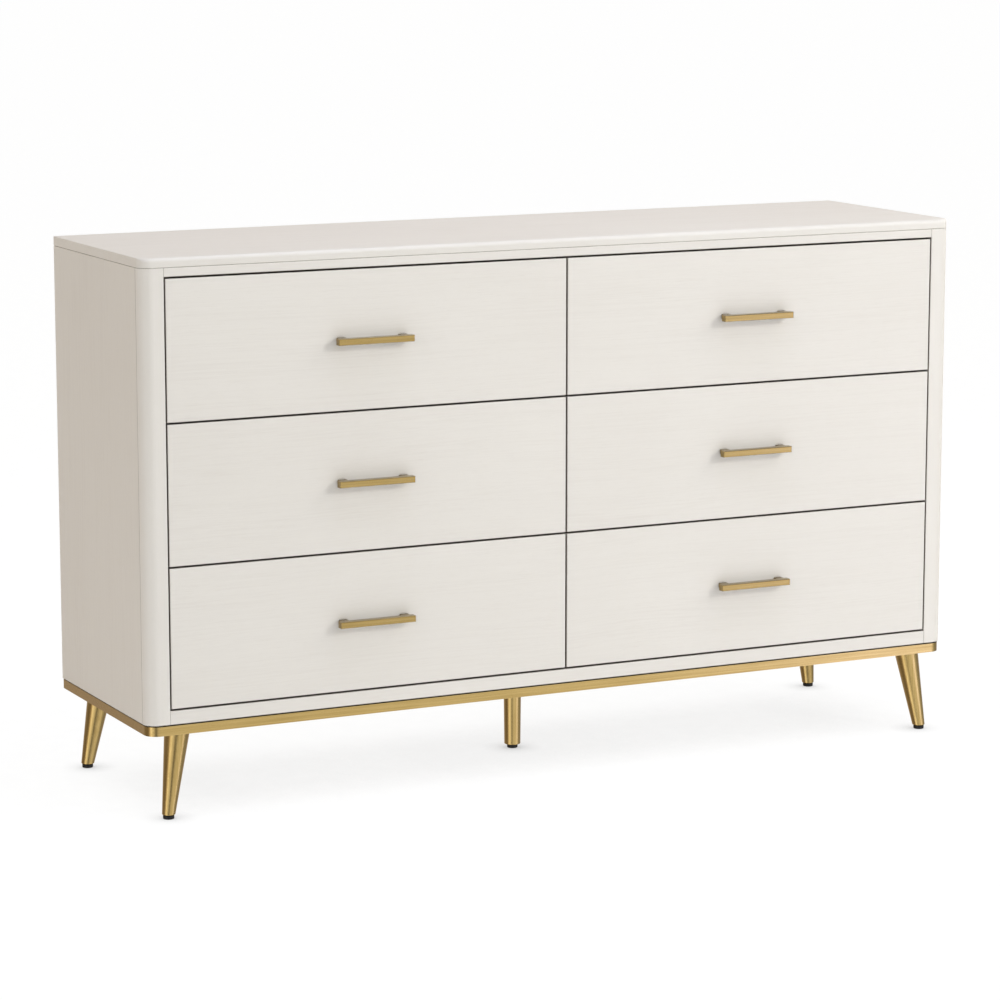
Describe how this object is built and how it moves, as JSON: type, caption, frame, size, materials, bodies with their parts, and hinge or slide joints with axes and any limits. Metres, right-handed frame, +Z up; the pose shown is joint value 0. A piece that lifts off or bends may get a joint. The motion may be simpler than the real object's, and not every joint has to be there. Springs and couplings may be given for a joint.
{
  "type": "dresser",
  "caption": "Wide low dresser with flush drawers in two columns, slim bar pulls and a gold base on splayed tapered legs, for storing clothes.",
  "frame": {"origin": "on the floor, under the middle of the overall box", "axes": "+X to the right seen from the front, -Y out of the front, +Z up"},
  "size_m": [1.42, 0.407, 0.858],
  "materials": {
    "painted_wood": "satin cream wash over fine straight grain",
    "inner_wood": "clear-lacquered pale plywood",
    "drawer_board": "smooth pale board",
    "back_board": "thin hardboard, matte",
    "brass": "satin brushed gold",
    "zinc": "zinc-plated, satin",
    "black_plastic": "moulded, matte black"
  },
  "bodies": {
    "case": {"top_panel": "painted_wood", "side_panel_left": "painted_wood", "side_panel_right": "painted_wood", "front_post_left": "painted_wood", "front_post_right": "painted_wood", "front_rail_top": "painted_wood", "front_rail_bottom": "painted_wood", "centre_partition": "painted_wood", "bottom_panel": "inner_wood", "back_panel": "back_board", "back_panel_screws": "zinc", "slide_battens": "inner_wood", "base_frame": "brass", "leg_front_left": "brass", "leg_front_right": "brass", "leg_rear_left": "brass", "leg_rear_right": "brass", "leg_centre": "brass", "slide_outer_members": "zinc"},
    "drawer_top_left": {"drawer_front_top_left": "painted_wood", "drawer_box_top_left": "inner_wood", "drawer_bottom_top_left": "drawer_board", "drawer_pull_top_left": "brass", "slide_inner_top_left": "zinc"},
    "slides_top_left": {"slide_middle_top_left": "zinc"},
    "drawer_top_right": {"drawer_front_top_right": "painted_wood", "drawer_box_top_right": "inner_wood", "drawer_bottom_top_right": "drawer_board", "drawer_pull_top_right": "brass", "slide_inner_top_right": "zinc"},
    "slides_top_right": {"slide_middle_top_right": "zinc"},
    "drawer_middle_left": {"drawer_front_middle_left": "painted_wood", "drawer_box_middle_left": "inner_wood", "drawer_bottom_middle_left": "drawer_board", "drawer_pull_middle_left": "brass", "slide_inner_middle_left": "zinc"},
    "slides_middle_left": {"slide_middle_middle_left": "zinc"},
    "drawer_middle_right": {"drawer_front_middle_right": "painted_wood", "drawer_box_middle_right": "inner_wood", "drawer_bottom_middle_right": "drawer_board", "drawer_pull_middle_right": "brass", "slide_inner_middle_right": "zinc"},
    "slides_middle_right": {"slide_middle_middle_right": "zinc"},
    "drawer_bottom_left": {"drawer_front_bottom_left": "painted_wood", "drawer_box_bottom_left": "inner_wood", "drawer_bottom_bottom_left": "drawer_board", "drawer_pull_bottom_left": "brass", "slide_inner_bottom_left": "zinc"},
    "slides_bottom_left": {"slide_middle_bottom_left": "zinc"},
    "drawer_bottom_right": {"drawer_front_bottom_right": "painted_wood", "drawer_box_bottom_right": "inner_wood", "drawer_bottom_bottom_right": "drawer_board", "drawer_pull_bottom_right": "brass", "slide_inner_bottom_right": "zinc"},
    "slides_bottom_right": {"slide_middle_bottom_right": "zinc"},
    "foot_front_left": {"foot_front_left": "black_plastic"},
    "foot_front_right": {"foot_front_right": "black_plastic"},
    "foot_rear_left": {"foot_rear_left": "black_plastic"},
    "foot_rear_right": {"foot_rear_right": "black_plastic"},
    "foot_centre": {"foot_centre": "black_plastic"}
  },
  "joints": [
    {"name": "drawer_top_left_slide", "type": "slide", "parent": "case", "child": "drawer_top_left", "axis": [0, -1, 0], "range_m": [0, 0.3]},
    {"name": "middle_top_left_slide", "type": "slide", "parent": "case", "child": "slides_top_left", "axis": [0, -1, 0], "range_m": [0, 0.15]},
    {"name": "drawer_top_right_slide", "type": "slide", "parent": "case", "child": "drawer_top_right", "axis": [0, -1, 0], "range_m": [0, 0.3]},
    {"name": "middle_top_right_slide", "type": "slide", "parent": "case", "child": "slides_top_right", "axis": [0, -1, 0], "range_m": [0, 0.15]},
    {"name": "drawer_middle_left_slide", "type": "slide", "parent": "case", "child": "drawer_middle_left", "axis": [0, -1, 0], "range_m": [0, 0.3]},
    {"name": "middle_middle_left_slide", "type": "slide", "parent": "case", "child": "slides_middle_left", "axis": [0, -1, 0], "range_m": [0, 0.15]},
    {"name": "drawer_middle_right_slide", "type": "slide", "parent": "case", "child": "drawer_middle_right", "axis": [0, -1, 0], "range_m": [0, 0.3]},
    {"name": "middle_middle_right_slide", "type": "slide", "parent": "case", "child": "slides_middle_right", "axis": [0, -1, 0], "range_m": [0, 0.15]},
    {"name": "drawer_bottom_left_slide", "type": "slide", "parent": "case", "child": "drawer_bottom_left", "axis": [0, -1, 0], "range_m": [0, 0.3]},
    {"name": "middle_bottom_left_slide", "type": "slide", "parent": "case", "child": "slides_bottom_left", "axis": [0, -1, 0], "range_m": [0, 0.15]},
    {"name": "drawer_bottom_right_slide", "type": "slide", "parent": "case", "child": "drawer_bottom_right", "axis": [0, -1, 0], "range_m": [0, 0.3]},
    {"name": "middle_bottom_right_slide", "type": "slide", "parent": "case", "child": "slides_bottom_right", "axis": [0, -1, 0], "range_m": [0, 0.15]},
    {"name": "foot_front_left_screw", "type": "slide", "parent": "case", "child": "foot_front_left", "axis": [0, 0, -1], "range_m": [0, 0.01]},
    {"name": "foot_front_right_screw", "type": "slide", "parent": "case", "child": "foot_front_right", "axis": [0, 0, -1], "range_m": [0, 0.01]},
    {"name": "foot_rear_left_screw", "type": "slide", "parent": "case", "child": "foot_rear_left", "axis": [0, 0, -1], "range_m": [0, 0.01]},
    {"name": "foot_rear_right_screw", "type": "slide", "parent": "case", "child": "foot_rear_right", "axis": [0, 0, -1], "range_m": [0, 0.01]},
    {"name": "foot_centre_screw", "type": "slide", "parent": "case", "child": "foot_centre", "axis": [0, 0, -1], "range_m": [0, 0.01]}
  ],
  "couplings": [
    {"joint": "middle_top_left_slide", "follows": "drawer_top_left_slide", "ratio": 0.5},
    {"joint": "middle_top_right_slide", "follows": "drawer_top_right_slide", "ratio": 0.5},
    {"joint": "middle_middle_left_slide", "follows": "drawer_middle_left_slide", "ratio": 0.5},
    {"joint": "middle_middle_right_slide", "follows": "drawer_middle_right_slide", "ratio": 0.5},
    {"joint": "middle_bottom_left_slide", "follows": "drawer_bottom_left_slide", "ratio": 0.5},
    {"joint": "middle_bottom_right_slide", "follows": "drawer_bottom_right_slide", "ratio": 0.5}
  ]
}
